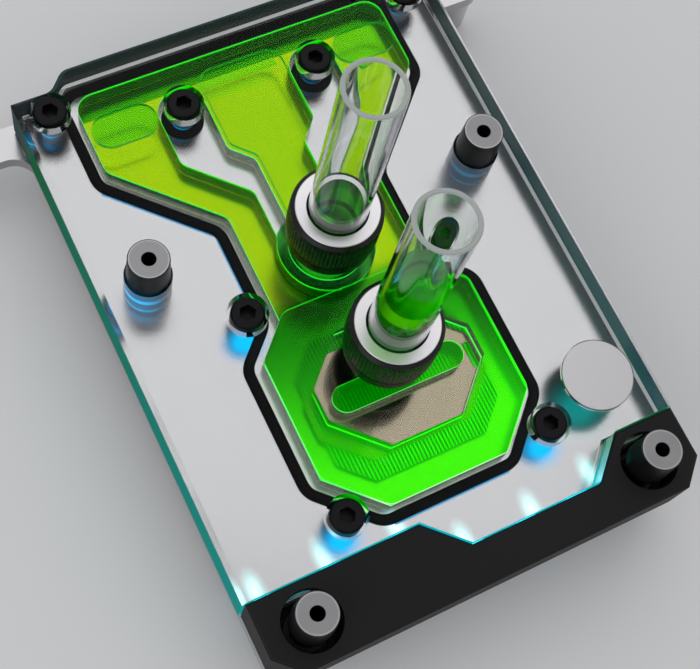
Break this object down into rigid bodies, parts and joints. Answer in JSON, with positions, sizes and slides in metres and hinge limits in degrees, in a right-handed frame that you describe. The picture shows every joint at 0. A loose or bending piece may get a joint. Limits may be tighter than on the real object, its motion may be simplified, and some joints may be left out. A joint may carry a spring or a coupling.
{
  "type": "monoblock water block",
  "caption": "Mainboard water block with a clear channelled top on a nickel coldplate, two tube fittings and a black front cover.",
  "frame": {"origin": "centre of the processor mounting pattern on the board's top face", "axes": "+Z away from the board, +Y towards the regulator edge, +X to the right as seen from above"},
  "size_m": [0.128, 0.1325, 0.0846],
  "materials": {
    "clear_acrylic": "polished clear",
    "coolant": "clear green liquid",
    "clear_tube": "polished clear",
    "nickel": "satin nickel",
    "stainless": "satin",
    "black_steel": "black oxide",
    "black_metal": "satin black",
    "nut_black": "satin black, bright top",
    "bright_steel": "bright",
    "silver_ring": "fine blasted",
    "badge_metal": "satin",
    "seal_rubber": "matte",
    "cover_black": "matte",
    "strip_board": "matte",
    "light_chip": "lit diffuser",
    "thermal_pad": "matte",
    "washer_plastic": "matte"
  },
  "bodies": {
    "root": {"cap_screw_1": "black_steel", "cap_screw_2": "black_steel", "cap_screw_3": "black_steel", "cap_screw_4": "black_steel", "cap_screw_5": "black_steel", "cap_screw_6": "black_steel", "cap_screw_7": "black_steel", "cap_screw_8": "black_steel", "channel_coolant": "coolant", "clear_top": "clear_acrylic", "coldplate": "nickel", "cover_screw_left": "black_steel", "cover_screw_right": "black_steel", "ear_standoff_left": "bright_steel", "ear_standoff_right": "bright_steel", "inlet_bright_ring": "silver_ring", "inlet_coolant": "coolant", "inlet_fitting_body": "black_metal", "inlet_fitting_seal": "seal_rubber", "inlet_locking_collar": "black_metal", "inlet_tube": "clear_tube", "inlet_tube_coolant": "coolant", "island_seal_left": "seal_rubber", "island_seal_right": "seal_rubber", "jet_plate": "stainless", "light_chips": "light_chip", "light_cover": "cover_black", "light_strip": "strip_board", "main_seal": "seal_rubber", "mounting_nut_1": "nut_black", "mounting_nut_2": "nut_black", "mounting_nut_3": "nut_black", "mounting_nut_4": "nut_black", "nut_washer_1": "washer_plastic", "nut_washer_2": "washer_plastic", "nut_washer_3": "washer_plastic", "nut_washer_4": "washer_plastic", "outlet_bright_ring": "silver_ring", "outlet_fitting_body": "black_metal", "outlet_fitting_seal": "seal_rubber", "outlet_locking_collar": "black_metal", "outlet_tube": "clear_tube", "outlet_tube_coolant": "coolant", "regulator_pad": "thermal_pad", "round_badge": "badge_metal"}
  },
  "joints": []
}
